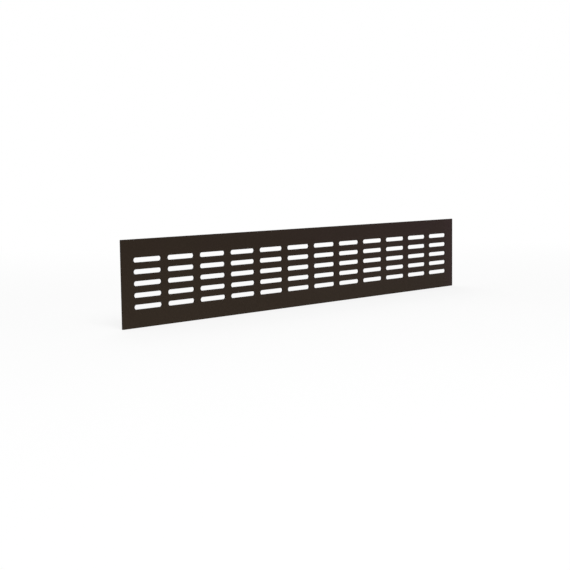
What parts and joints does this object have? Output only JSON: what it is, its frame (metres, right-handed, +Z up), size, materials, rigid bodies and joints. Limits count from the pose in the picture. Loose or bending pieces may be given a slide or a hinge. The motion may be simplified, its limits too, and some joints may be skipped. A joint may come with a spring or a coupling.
{
  "type": "window trickle vent",
  "caption": "Slotted face plate over a slotted shutter that slides on slanted slots and closes all air slots at once.",
  "frame": {"origin": "middle of the plane in which the vent lies against the window", "axes": "+X along the vent towards the grip, +Z up, +Y into the window, so the face looks along -Y"},
  "size_m": [0.5076, 0.0196, 0.08],
  "materials": {
    "coated_face": "dark brown powder coat, satin",
    "coated_shutter": "dark brown powder coat, satin",
    "moulded_grip": "moulded, fine grain",
    "moulded_cap": "moulded, fine grain",
    "mill_aluminium": "mill finish with drawing lines",
    "rivet_aluminium": "plain",
    "nylon": "moulded, natural",
    "plated_steel": "zinc plated",
    "foam": "closed-cell foam"
  },
  "bodies": {
    "base": {"face_plate": "coated_face", "base_rail_bottom": "mill_aluminium", "base_rail_top": "mill_aluminium", "end_cap_left": "moulded_cap", "end_cap_right": "moulded_cap", "seal_bottom": "foam", "seal_top": "foam", "fixing_screw_bottom_left": "plated_steel", "fixing_screw_bottom_right": "plated_steel", "fixing_screw_top_left": "plated_steel", "fixing_screw_top_right": "plated_steel"},
    "shutter": {"shutter_plate": "coated_shutter", "finger_grip": "moulded_grip", "grip_rivet_lower": "rivet_aluminium", "grip_rivet_upper": "rivet_aluminium", "shutter_stud_bottom_1": "nylon", "shutter_stud_bottom_2": "nylon", "shutter_stud_bottom_3": "nylon", "shutter_stud_top_1": "nylon", "shutter_stud_top_2": "nylon", "shutter_stud_top_3": "nylon"}
  },
  "joints": [
    {"name": "shutter_slide", "type": "slide", "parent": "base", "child": "shutter", "axis": [0.7071, 0, 0.7071], "range_m": [0, 0.0075]}
  ]
}
